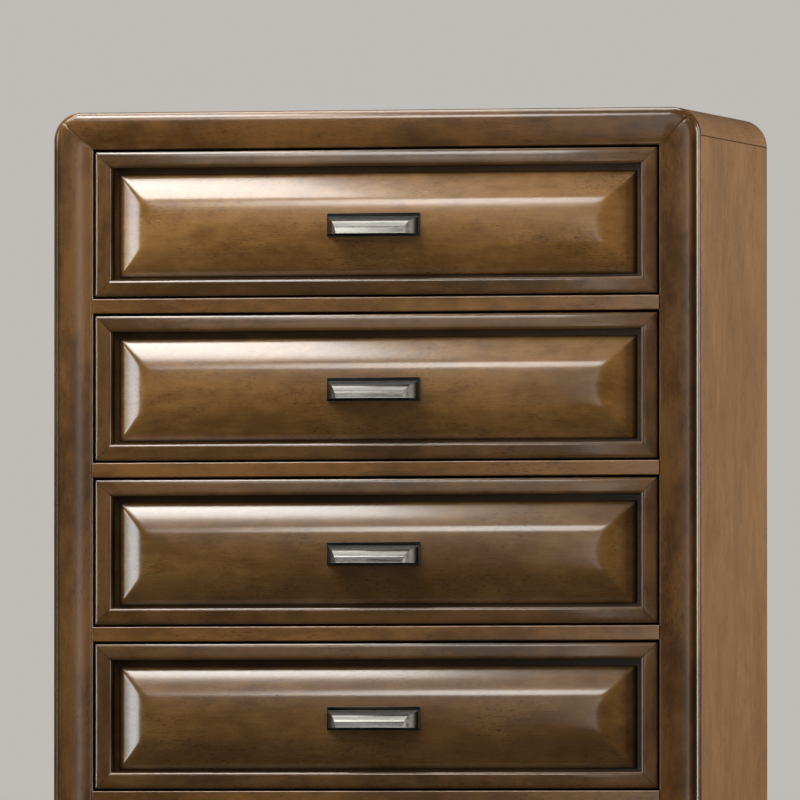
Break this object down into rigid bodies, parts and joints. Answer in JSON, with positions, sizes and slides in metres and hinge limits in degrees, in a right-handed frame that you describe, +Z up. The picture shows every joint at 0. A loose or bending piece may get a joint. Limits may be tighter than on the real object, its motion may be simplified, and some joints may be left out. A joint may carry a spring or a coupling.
{
  "type": "chest of drawers",
  "caption": "Tall wooden chest of drawers with a mitred, rounded face frame, pillow-shaped raised drawer fronts, hooded metal pulls and ball-bearing slides.",
  "frame": {"origin": "on the floor, under the middle of the outer box, pulls included", "axes": "+Z up, front and drawers' opening direction -Y, right side +X seen from the front"},
  "size_m": [0.85, 0.4524, 1.24],
  "materials": {
    "case_wood": "stained walnut-brown wood under satin lacquer",
    "front_wood": "stained walnut-brown veneer under semi-gloss lacquer",
    "inner_wood": "plain sanded poplar",
    "board": "thin plywood",
    "pull_metal": "dark brushed nickel on a casting",
    "slide_steel": "zinc-plated rolled steel",
    "cage_plastic": "moulded ball cage",
    "glide_plastic": "nail-on glide"
  },
  "bodies": {
    "case": {"top_board": "case_wood", "left_corner_moulding": "case_wood", "right_corner_moulding": "case_wood", "left_side_panel": "case_wood", "right_side_panel": "case_wood", "left_stile": "case_wood", "right_stile": "case_wood", "top_rail": "case_wood", "bottom_rail": "case_wood", "divider_rail_1": "case_wood", "divider_rail_2": "case_wood", "divider_rail_3": "case_wood", "divider_rail_4": "case_wood", "front_left_foot": "case_wood", "front_right_foot": "case_wood", "rear_left_foot": "case_wood", "rear_right_foot": "case_wood", "back_top_rail": "inner_wood", "back_bottom_rail": "inner_wood", "corner_blocks": "inner_wood", "runner_battens": "inner_wood", "back_panel": "board", "bottom_panel": "board", "slide_channels": "slide_steel", "foot_glides": "glide_plastic"},
    "drawer_1": {"drawer_1_front_frame": "front_wood", "drawer_1_raised_panel": "front_wood", "drawer_1_box_walls": "inner_wood", "drawer_1_box_bottom": "board", "drawer_1_pull": "pull_metal", "drawer_1_slide_rails": "slide_steel"},
    "drawer_1_cages": {"drawer_1_ball_cages": "cage_plastic"},
    "drawer_2": {"drawer_2_front_frame": "front_wood", "drawer_2_raised_panel": "front_wood", "drawer_2_box_walls": "inner_wood", "drawer_2_box_bottom": "board", "drawer_2_pull": "pull_metal", "drawer_2_slide_rails": "slide_steel"},
    "drawer_2_cages": {"drawer_2_ball_cages": "cage_plastic"},
    "drawer_3": {"drawer_3_front_frame": "front_wood", "drawer_3_raised_panel": "front_wood", "drawer_3_box_walls": "inner_wood", "drawer_3_box_bottom": "board", "drawer_3_pull": "pull_metal", "drawer_3_slide_rails": "slide_steel"},
    "drawer_3_cages": {"drawer_3_ball_cages": "cage_plastic"},
    "drawer_4": {"drawer_4_front_frame": "front_wood", "drawer_4_raised_panel": "front_wood", "drawer_4_box_walls": "inner_wood", "drawer_4_box_bottom": "board", "drawer_4_pull": "pull_metal", "drawer_4_slide_rails": "slide_steel"},
    "drawer_4_cages": {"drawer_4_ball_cages": "cage_plastic"},
    "drawer_5": {"drawer_5_front_frame": "front_wood", "drawer_5_raised_panel": "front_wood", "drawer_5_box_walls": "inner_wood", "drawer_5_box_bottom": "board", "drawer_5_pull": "pull_metal", "drawer_5_slide_rails": "slide_steel"},
    "drawer_5_cages": {"drawer_5_ball_cages": "cage_plastic"}
  },
  "joints": [
    {"name": "drawer_1_slide", "type": "slide", "parent": "case", "child": "drawer_1", "axis": [0, -1, 0], "range_m": [0, 0.26]},
    {"name": "drawer_1_cage_travel", "type": "slide", "parent": "case", "child": "drawer_1_cages", "axis": [0, -1, 0], "range_m": [0, 0.13]},
    {"name": "drawer_2_slide", "type": "slide", "parent": "case", "child": "drawer_2", "axis": [0, -1, 0], "range_m": [0, 0.26]},
    {"name": "drawer_2_cage_travel", "type": "slide", "parent": "case", "child": "drawer_2_cages", "axis": [0, -1, 0], "range_m": [0, 0.13]},
    {"name": "drawer_3_slide", "type": "slide", "parent": "case", "child": "drawer_3", "axis": [0, -1, 0], "range_m": [0, 0.26]},
    {"name": "drawer_3_cage_travel", "type": "slide", "parent": "case", "child": "drawer_3_cages", "axis": [0, -1, 0], "range_m": [0, 0.13]},
    {"name": "drawer_4_slide", "type": "slide", "parent": "case", "child": "drawer_4", "axis": [0, -1, 0], "range_m": [0, 0.26]},
    {"name": "drawer_4_cage_travel", "type": "slide", "parent": "case", "child": "drawer_4_cages", "axis": [0, -1, 0], "range_m": [0, 0.13]},
    {"name": "drawer_5_slide", "type": "slide", "parent": "case", "child": "drawer_5", "axis": [0, -1, 0], "range_m": [0, 0.26]},
    {"name": "drawer_5_cage_travel", "type": "slide", "parent": "case", "child": "drawer_5_cages", "axis": [0, -1, 0], "range_m": [0, 0.13]}
  ],
  "couplings": [
    {"joint": "drawer_1_cage_travel", "follows": "drawer_1_slide", "ratio": 0.5},
    {"joint": "drawer_2_cage_travel", "follows": "drawer_2_slide", "ratio": 0.5},
    {"joint": "drawer_3_cage_travel", "follows": "drawer_3_slide", "ratio": 0.5},
    {"joint": "drawer_4_cage_travel", "follows": "drawer_4_slide", "ratio": 0.5},
    {"joint": "drawer_5_cage_travel", "follows": "drawer_5_slide", "ratio": 0.5}
  ]
}
